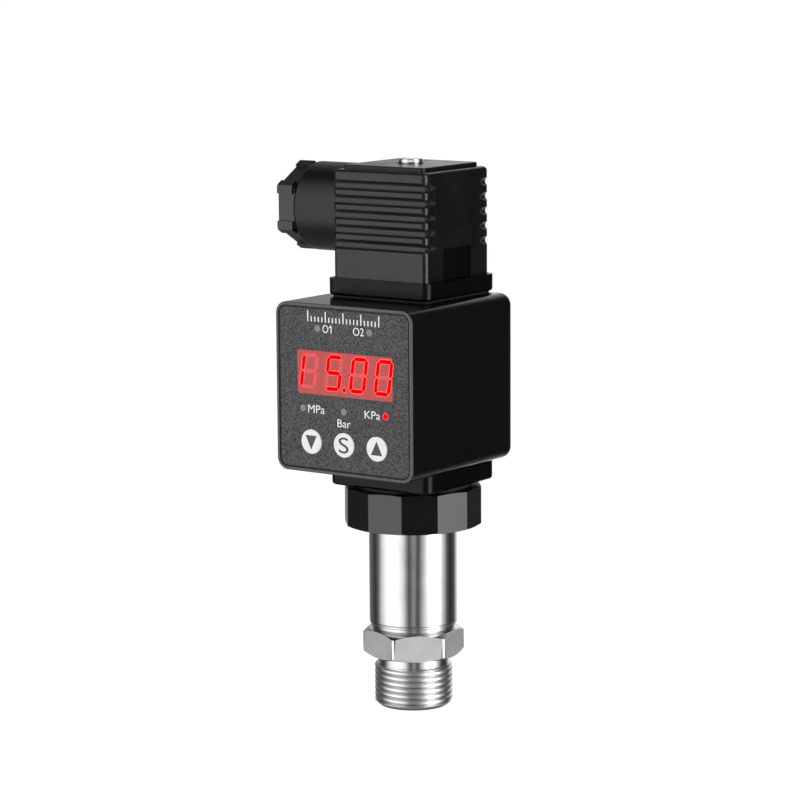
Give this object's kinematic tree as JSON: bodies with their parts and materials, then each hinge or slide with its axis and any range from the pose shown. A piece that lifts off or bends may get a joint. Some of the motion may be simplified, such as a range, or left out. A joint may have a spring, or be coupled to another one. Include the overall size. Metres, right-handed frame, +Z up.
{
  "type": "pressure transmitter",
  "caption": "Screw-in pressure transmitter: threaded stainless stem, faceted collar, square plug-on display box with keys, and a ribbed cable socket with gland on top.",
  "frame": {"origin": "mouth of the pressure port, at the end of the thread, on the axis of thread, tube and fixing screw", "axes": "+Z up the stem to the cable socket, -Y the way the display faces, -X the way the cable gland points"},
  "size_m": [0.0556, 0.0473, 0.1408],
  "materials": {
    "stainless_turned": "turned and polished stainless steel",
    "stainless_tube": "polished stainless tube",
    "cell_steel": "ground steel",
    "collar_black": "satin black anodised",
    "base_black": "semi-gloss black moulding",
    "box_black": "gloss black moulding",
    "socket_black": "black moulding, eroded texture",
    "gland_black": "satin black moulding",
    "panel_grey": "fine-grained dark grey overlay",
    "window_red": "translucent red window",
    "led_face": "tinted display face",
    "key_white": "white key",
    "light_red": "lit red lens",
    "light_grey": "unlit grey lens",
    "seal_rubber": "black seal rubber",
    "washer_plastic": "natural nylon",
    "brass": "turned brass",
    "contact_tin": "tinned brass",
    "screw_steel": "bright plated steel",
    "insert_grey": "dark grey insulating moulding",
    "board_green": "green laminate board",
    "lead_red": "insulated lead"
  },
  "bodies": {
    "transmitter": {"process_fitting": "stainless_turned", "sensor_tube": "stainless_tube", "sensing_cell": "cell_steel", "cell_seal": "seal_rubber", "cell_retaining_ring": "cell_steel", "signal_board": "board_green", "lead_wires": "lead_red", "collar": "collar_black", "collar_seal": "seal_rubber", "collar_gasket": "seal_rubber", "lower_plug_base": "base_black", "lower_pins": "contact_tin", "threaded_insert": "brass", "base_gasket": "seal_rubber", "display_housing": "box_black", "lower_socket": "insert_grey", "lower_contacts": "contact_tin", "front_panel": "panel_grey", "display_window": "window_red", "led_display": "led_face", "display_board": "board_green", "board_screws": "screw_steel", "driver_board": "board_green", "board_headers": "insert_grey", "screw_sleeve": "brass", "upper_gasket": "seal_rubber", "upper_plug_base": "base_black", "upper_pins": "contact_tin", "connector_gasket": "seal_rubber", "connector_housing": "socket_black", "contact_insert": "insert_grey", "connector_contacts": "contact_tin", "terminal_screws": "screw_steel", "connector_lid": "socket_black", "screw_washer": "screw_steel", "fixing_screw": "screw_steel", "gland_seal": "seal_rubber", "switch_down": "insert_grey", "switch_set": "insert_grey", "switch_up": "insert_grey", "light_out1": "light_grey", "light_out2": "light_grey", "light_mpa": "light_grey", "light_bar": "light_grey", "light_kpa": "light_red"},
    "gland_washer": {"gland_washer": "washer_plastic"},
    "gland_screw": {"gland_screw": "gland_black"},
    "key_down": {"key_down": "key_white", "plunger_down": "insert_grey"},
    "key_set": {"key_set": "key_white", "plunger_set": "insert_grey"},
    "key_up": {"key_up": "key_white", "plunger_up": "insert_grey"}
  },
  "joints": [
    {"name": "gland_feed", "type": "slide", "parent": "transmitter", "child": "gland_washer", "axis": [-1, 0, 0], "range_m": [0, 0.003]},
    {"name": "gland_turn", "type": "hinge", "parent": "gland_washer", "child": "gland_screw", "pos_m": [-0.0292, 0, 0.1275], "axis": [-1, 0, 0], "range_deg": [0, 720]},
    {"name": "press_down", "type": "slide", "parent": "transmitter", "child": "key_down", "axis": [0, 1, 0], "range_m": [0, 0.0005], "stiffness_N_per_m": 1500},
    {"name": "press_set", "type": "slide", "parent": "transmitter", "child": "key_set", "axis": [0, 1, 0], "range_m": [0, 0.0005], "stiffness_N_per_m": 1500},
    {"name": "press_up", "type": "slide", "parent": "transmitter", "child": "key_up", "axis": [0, 1, 0], "range_m": [0, 0.0005], "stiffness_N_per_m": 1500}
  ],
  "couplings": [
    {"joint": "gland_turn", "follows": "gland_feed", "rad_per_m": 4188.8}
  ]
}
